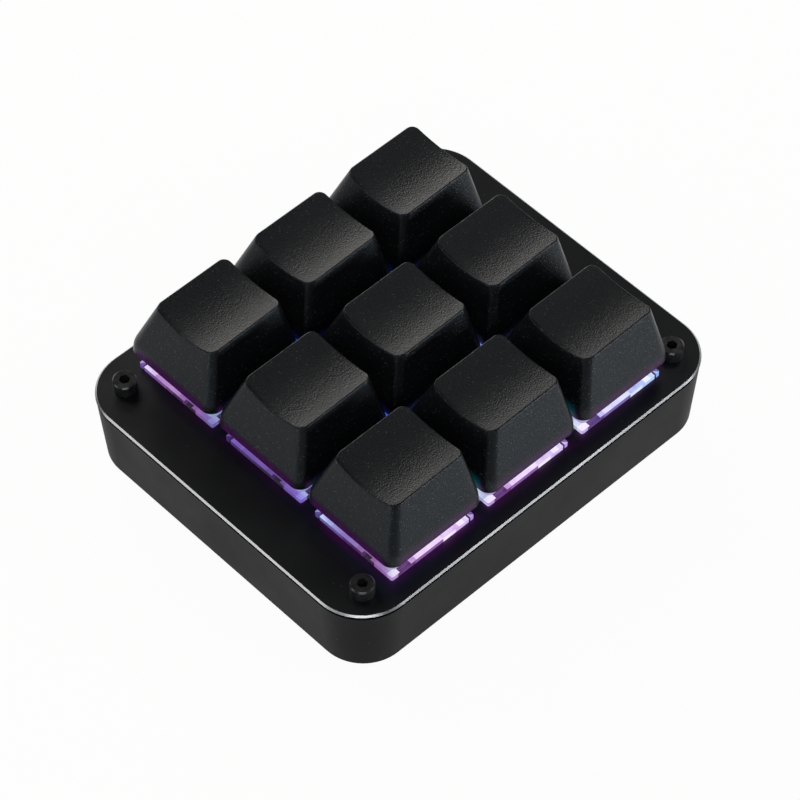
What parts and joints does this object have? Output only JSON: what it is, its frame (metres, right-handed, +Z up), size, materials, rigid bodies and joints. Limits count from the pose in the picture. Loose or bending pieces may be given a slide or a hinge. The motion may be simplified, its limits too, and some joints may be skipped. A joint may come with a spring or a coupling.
{
  "type": "macro keypad",
  "caption": "Small desk keypad: a flat black metal case with a screwed lid plate, a square grid of sprung mechanical keys with dished caps, and lamps glowing under them.",
  "frame": {"origin": "under the middle of the case, on the surface that the four feet stand on", "axes": "+X to the right, +Y to the back where the cable socket is, +Z up"},
  "size_m": [0.062, 0.074, 0.0274],
  "materials": {
    "anodised_case": "satin black anodised",
    "anodised_lid": "satin black anodised, with a bright cut chamfer round the top edge",
    "foot_rubber": "matt",
    "black_screw_steel": "black oxide",
    "board_laminate": "solder mask",
    "socket_steel": "plated",
    "chip_resin": "moulded",
    "crystal_can": "plated",
    "capacitor_body": "fired",
    "lamp_lens": "clear lens",
    "contact_brass": "bright",
    "switch_base_plastic": "milky clear",
    "switch_hood_plastic": "clear",
    "stem_plastic": "moulded",
    "spring_steel": "drawn wire",
    "keycap_plastic": "fine moulded grain"
  },
  "bodies": {
    "case": {"tray": "anodised_case", "lid_plate": "anodised_lid", "rubber_feet": "foot_rubber", "lid_screws": "black_screw_steel", "circuit_board": "board_laminate", "usb_socket": "socket_steel", "controller_chip": "chip_resin", "clock_crystal": "crystal_can", "capacitors": "capacitor_body", "key_diodes": "chip_resin", "key_lamps": "lamp_lens", "moving_contacts": "contact_brass", "fixed_contacts": "contact_brass", "switch_base_front_left": "switch_base_plastic", "switch_hood_front_left": "switch_hood_plastic", "spring_front_left": "spring_steel", "switch_base_front_center": "switch_base_plastic", "switch_hood_front_center": "switch_hood_plastic", "spring_front_center": "spring_steel", "switch_base_front_right": "switch_base_plastic", "switch_hood_front_right": "switch_hood_plastic", "spring_front_right": "spring_steel", "switch_base_middle_left": "switch_base_plastic", "switch_hood_middle_left": "switch_hood_plastic", "spring_middle_left": "spring_steel", "switch_base_middle_center": "switch_base_plastic", "switch_hood_middle_center": "switch_hood_plastic", "spring_middle_center": "spring_steel", "switch_base_middle_right": "switch_base_plastic", "switch_hood_middle_right": "switch_hood_plastic", "spring_middle_right": "spring_steel", "switch_base_back_left": "switch_base_plastic", "switch_hood_back_left": "switch_hood_plastic", "spring_back_left": "spring_steel", "switch_base_back_center": "switch_base_plastic", "switch_hood_back_center": "switch_hood_plastic", "spring_back_center": "spring_steel", "switch_base_back_right": "switch_base_plastic", "switch_hood_back_right": "switch_hood_plastic", "spring_back_right": "spring_steel"},
    "key_front_left": {"keycap_front_left": "keycap_plastic", "stem_front_left": "stem_plastic"},
    "key_front_center": {"keycap_front_center": "keycap_plastic", "stem_front_center": "stem_plastic"},
    "key_front_right": {"keycap_front_right": "keycap_plastic", "stem_front_right": "stem_plastic"},
    "key_middle_left": {"keycap_middle_left": "keycap_plastic", "stem_middle_left": "stem_plastic"},
    "key_middle_center": {"keycap_middle_center": "keycap_plastic", "stem_middle_center": "stem_plastic"},
    "key_middle_right": {"keycap_middle_right": "keycap_plastic", "stem_middle_right": "stem_plastic"},
    "key_back_left": {"keycap_back_left": "keycap_plastic", "stem_back_left": "stem_plastic"},
    "key_back_center": {"keycap_back_center": "keycap_plastic", "stem_back_center": "stem_plastic"},
    "key_back_right": {"keycap_back_right": "keycap_plastic", "stem_back_right": "stem_plastic"}
  },
  "joints": [
    {"name": "press_front_left", "type": "slide", "parent": "case", "child": "key_front_left", "axis": [0, 0, -1], "range_m": [0, 0.0031], "stiffness_N_per_m": 88, "springref_m": -0.0034, "deforming": ["spring_front_left"]},
    {"name": "press_front_center", "type": "slide", "parent": "case", "child": "key_front_center", "axis": [0, 0, -1], "range_m": [0, 0.0031], "stiffness_N_per_m": 88, "springref_m": -0.0034, "deforming": ["spring_front_center"]},
    {"name": "press_front_right", "type": "slide", "parent": "case", "child": "key_front_right", "axis": [0, 0, -1], "range_m": [0, 0.0031], "stiffness_N_per_m": 88, "springref_m": -0.0034, "deforming": ["spring_front_right"]},
    {"name": "press_middle_left", "type": "slide", "parent": "case", "child": "key_middle_left", "axis": [0, 0, -1], "range_m": [0, 0.0031], "stiffness_N_per_m": 88, "springref_m": -0.0034, "deforming": ["spring_middle_left"]},
    {"name": "press_middle_center", "type": "slide", "parent": "case", "child": "key_middle_center", "axis": [0, 0, -1], "range_m": [0, 0.0031], "stiffness_N_per_m": 88, "springref_m": -0.0034, "deforming": ["spring_middle_center"]},
    {"name": "press_middle_right", "type": "slide", "parent": "case", "child": "key_middle_right", "axis": [0, 0, -1], "range_m": [0, 0.0031], "stiffness_N_per_m": 88, "springref_m": -0.0034, "deforming": ["spring_middle_right"]},
    {"name": "press_back_left", "type": "slide", "parent": "case", "child": "key_back_left", "axis": [0, 0, -1], "range_m": [0, 0.0031], "stiffness_N_per_m": 88, "springref_m": -0.0034, "deforming": ["spring_back_left"]},
    {"name": "press_back_center", "type": "slide", "parent": "case", "child": "key_back_center", "axis": [0, 0, -1], "range_m": [0, 0.0031], "stiffness_N_per_m": 88, "springref_m": -0.0034, "deforming": ["spring_back_center"]},
    {"name": "press_back_right", "type": "slide", "parent": "case", "child": "key_back_right", "axis": [0, 0, -1], "range_m": [0, 0.0031], "stiffness_N_per_m": 88, "springref_m": -0.0034, "deforming": ["spring_back_right"]}
  ]
}
